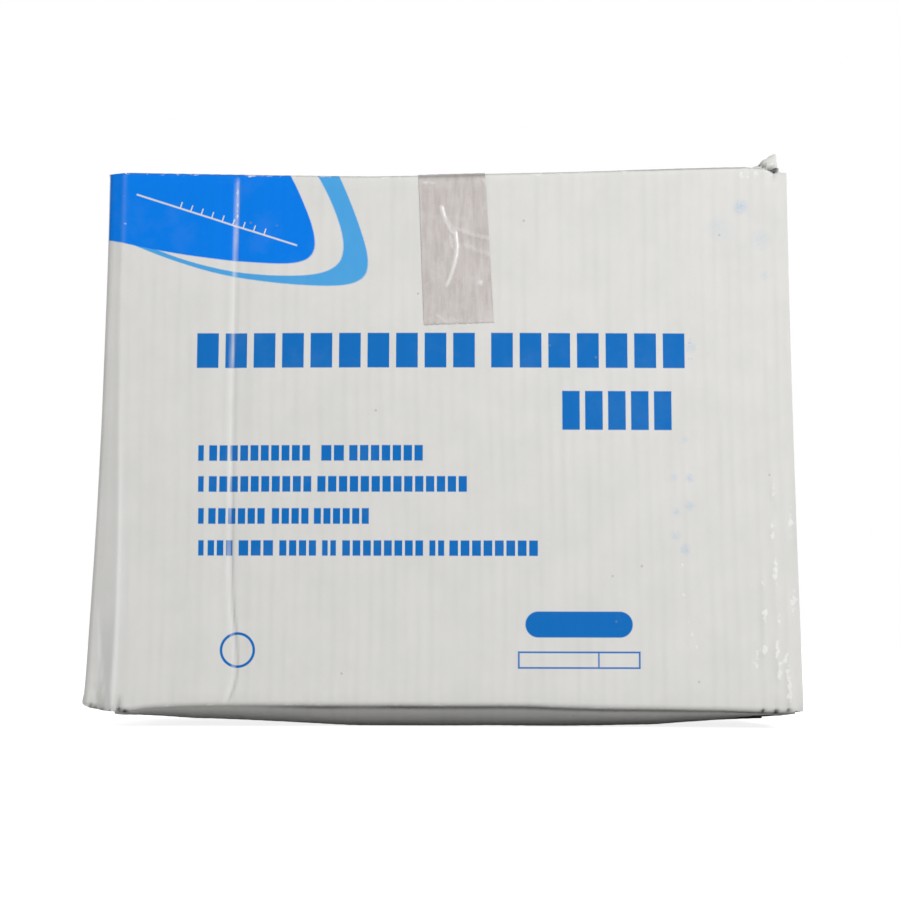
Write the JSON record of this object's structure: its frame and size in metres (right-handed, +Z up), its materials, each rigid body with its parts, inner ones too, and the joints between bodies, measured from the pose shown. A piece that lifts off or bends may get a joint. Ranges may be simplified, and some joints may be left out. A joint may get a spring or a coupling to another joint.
{
  "type": "corrugated carton",
  "caption": "Closed corrugated carton with a white printed face, sagging bottom flaps, a crumpled flap end and one strip of packing tape over its top.",
  "frame": {"origin": "bottom centre of the whole, on the surface that the bottom flaps stand on", "axes": "+Z up, -Y out of the printed front wall, +X to the right seen from the front, along the length"},
  "size_m": [0.3824, 0.1264, 0.3108],
  "materials": {
    "board": "white coated liner, matt",
    "tape": "thin translucent film"
  },
  "bodies": {
    "root": {"carton": "board", "closing_tape": "tape"}
  },
  "joints": []
}
